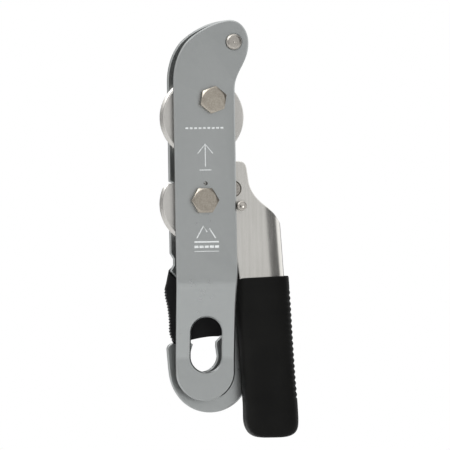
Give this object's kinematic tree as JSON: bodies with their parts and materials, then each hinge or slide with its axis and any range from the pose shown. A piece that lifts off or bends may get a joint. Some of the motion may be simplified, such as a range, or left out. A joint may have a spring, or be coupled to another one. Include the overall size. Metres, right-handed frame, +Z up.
{
  "type": "rope descender",
  "caption": "Self-braking rope descender with two bobbins between side plates, a swinging hooked plate with a gate, and a squeeze handle.",
  "frame": {"origin": "centre of the harness eye's lower circle, midway between the side plates", "axes": "+Z up the device towards the head, +X towards the handle, -Y out of the fixed side plate"},
  "size_m": [0.0716, 0.0441, 0.2226],
  "materials": {
    "anodised_plate": "satin anodised aluminium plate",
    "bobbin_aluminium": "turned aluminium",
    "stainless_sheet": "pressed stainless sheet, satin",
    "stainless_pin": "turned stainless",
    "bolt_steel": "cold-forged bolt, satin",
    "black_rubber": "moulded matt black",
    "black_nylon": "moulded black nylon",
    "spring_steel": "drawn spring wire"
  },
  "bodies": {
    "fixed_side": {"fixed_side_plate": "anodised_plate", "upper_bolt": "bolt_steel", "upper_sleeve": "stainless_pin", "upper_rear_washer": "bolt_steel", "upper_nut": "bolt_steel", "upper_nut_insert": "black_nylon", "lower_bolt": "bolt_steel", "lower_sleeve": "stainless_pin", "lower_rear_washer": "bolt_steel", "lower_nut": "bolt_steel", "lower_nut_insert": "black_nylon", "upper_front_spacer": "stainless_pin", "upper_rear_spacer": "stainless_pin", "lower_front_spacer": "stainless_pin", "lower_rear_spacer": "stainless_pin", "upper_bobbin": "bobbin_aluminium", "bobbin_dowel": "spring_steel", "head_pin": "stainless_pin", "handle_spring": "spring_steel"},
    "moving_side": {"moving_side_plate": "anodised_plate", "gate_rivet": "stainless_pin", "gate_spring": "spring_steel"},
    "gate": {"gate": "black_nylon"},
    "handle": {"brake_cam": "bobbin_aluminium", "cam_rivet": "stainless_pin", "handle_channel": "stainless_sheet", "stop_pin": "stainless_pin", "handle_grip": "black_rubber"}
  },
  "joints": [
    {"name": "side_plate_swing", "type": "hinge", "parent": "fixed_side", "child": "moving_side", "pos_m": [0.00435, 0.012, 0.1364], "axis": [0, -1, 0], "range_deg": [0, 110]},
    {"name": "gate_swing", "type": "hinge", "parent": "moving_side", "child": "gate", "pos_m": [-0.006, 0.0145, 0.042], "axis": [0, -1, 0], "range_deg": [0, 30], "stiffness_Nm_per_rad": 0.02, "springref_deg": -28.65},
    {"name": "handle_squeeze", "type": "hinge", "parent": "fixed_side", "child": "handle", "pos_m": [-0.00085, 0, 0.083], "axis": [0, -1, 0], "range_deg": [0, 18], "stiffness_Nm_per_rad": 0.05, "springref_deg": -17.19}
  ]
}
